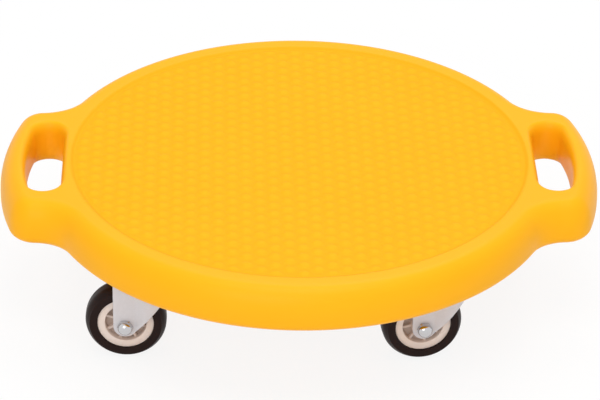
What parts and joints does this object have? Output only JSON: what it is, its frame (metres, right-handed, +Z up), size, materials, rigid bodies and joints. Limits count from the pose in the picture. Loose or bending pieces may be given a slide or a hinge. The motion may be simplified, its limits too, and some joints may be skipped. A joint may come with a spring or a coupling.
{
  "type": "scooter board",
  "caption": "Round thick plastic scooter board with a hand hole in a lobe at each end and free-swivelling casters underneath.",
  "frame": {"origin": "on the floor, under the middle of the board", "axes": "+Z up, +X from the left hand hole to the right one, -Y towards the pictured front; at rest every caster trails roughly towards -X"},
  "size_m": [0.478, 0.413, 0.116],
  "materials": {
    "board_plastic": "yellow blow-moulded polyethylene, satin, non-slip tread area",
    "white_paint": "off-white powder-coated pressed steel",
    "zinc_steel": "zinc-plated steel",
    "ball_steel": "plain polished steel",
    "chrome": "bright chrome plate",
    "cream_plastic": "cream moulded polypropylene",
    "black_tyre": "black moulded tyre with a dull sheen"
  },
  "bodies": {
    "board": {"board": "board_plastic", "front_left_mount_plate": "zinc_steel", "front_left_kingpin": "zinc_steel", "front_left_bearing_cup": "zinc_steel", "front_left_plate_screw_1": "zinc_steel", "front_left_plate_screw_2": "zinc_steel", "front_left_plate_screw_3": "zinc_steel", "front_left_plate_screw_4": "zinc_steel", "front_right_mount_plate": "zinc_steel", "front_right_kingpin": "zinc_steel", "front_right_bearing_cup": "zinc_steel", "front_right_plate_screw_1": "zinc_steel", "front_right_plate_screw_2": "zinc_steel", "front_right_plate_screw_3": "zinc_steel", "front_right_plate_screw_4": "zinc_steel", "rear_left_mount_plate": "zinc_steel", "rear_left_kingpin": "zinc_steel", "rear_left_bearing_cup": "zinc_steel", "rear_left_plate_screw_1": "zinc_steel", "rear_left_plate_screw_2": "zinc_steel", "rear_left_plate_screw_3": "zinc_steel", "rear_left_plate_screw_4": "zinc_steel", "rear_right_mount_plate": "zinc_steel", "rear_right_kingpin": "zinc_steel", "rear_right_bearing_cup": "zinc_steel", "rear_right_plate_screw_1": "zinc_steel", "rear_right_plate_screw_2": "zinc_steel", "rear_right_plate_screw_3": "zinc_steel", "rear_right_plate_screw_4": "zinc_steel"},
    "front_left_fork": {"front_left_fork": "white_paint", "front_left_ball_ring": "ball_steel", "front_left_axle_bolt": "chrome", "front_left_cap_nut": "chrome", "front_left_axle_sleeve": "ball_steel"},
    "front_left_wheel": {"front_left_wheel_rim": "cream_plastic", "front_left_tyre": "black_tyre"},
    "front_right_fork": {"front_right_fork": "white_paint", "front_right_ball_ring": "ball_steel", "front_right_axle_bolt": "chrome", "front_right_cap_nut": "chrome", "front_right_axle_sleeve": "ball_steel"},
    "front_right_wheel": {"front_right_wheel_rim": "cream_plastic", "front_right_tyre": "black_tyre"},
    "rear_left_fork": {"rear_left_fork": "white_paint", "rear_left_ball_ring": "ball_steel", "rear_left_axle_bolt": "chrome", "rear_left_cap_nut": "chrome", "rear_left_axle_sleeve": "ball_steel"},
    "rear_left_wheel": {"rear_left_wheel_rim": "cream_plastic", "rear_left_tyre": "black_tyre"},
    "rear_right_fork": {"rear_right_fork": "white_paint", "rear_right_ball_ring": "ball_steel", "rear_right_axle_bolt": "chrome", "rear_right_cap_nut": "chrome", "rear_right_axle_sleeve": "ball_steel"},
    "rear_right_wheel": {"rear_right_wheel_rim": "cream_plastic", "rear_right_tyre": "black_tyre"}
  },
  "joints": [
    {"name": "front_left_swivel", "type": "hinge", "parent": "board", "child": "front_left_fork", "pos_m": [-0.11522, -0.10782, 0.076], "axis": [0, 0, 1], "continuous": true},
    {"name": "front_left_wheel_spin", "type": "hinge", "parent": "front_left_fork", "child": "front_left_wheel", "pos_m": [-0.13701, -0.10706, 0.03175], "axis": [0.0349, 0.9994, 0], "continuous": true},
    {"name": "front_right_swivel", "type": "hinge", "parent": "board", "child": "front_right_fork", "pos_m": [0.11522, -0.10782, 0.076], "axis": [0, 0, 1], "continuous": true},
    {"name": "front_right_wheel_spin", "type": "hinge", "parent": "front_right_fork", "child": "front_right_wheel", "pos_m": [0.09369, -0.11123, 0.03175], "axis": [-0.1564, 0.9877, 0], "continuous": true},
    {"name": "rear_left_swivel", "type": "hinge", "parent": "board", "child": "rear_left_fork", "pos_m": [-0.11522, 0.10782, 0.076], "axis": [0, 0, 1], "continuous": true},
    {"name": "rear_left_wheel_spin", "type": "hinge", "parent": "rear_left_fork", "child": "rear_left_wheel", "pos_m": [-0.13702, 0.10782, 0.03175], "axis": [0, 1, 0], "continuous": true},
    {"name": "rear_right_swivel", "type": "hinge", "parent": "board", "child": "rear_right_fork", "pos_m": [0.11522, 0.10782, 0.076], "axis": [0, 0, 1], "continuous": true},
    {"name": "rear_right_wheel_spin", "type": "hinge", "parent": "rear_right_fork", "child": "rear_right_wheel", "pos_m": [0.09342, 0.10782, 0.03175], "axis": [0, 1, 0], "continuous": true}
  ]
}
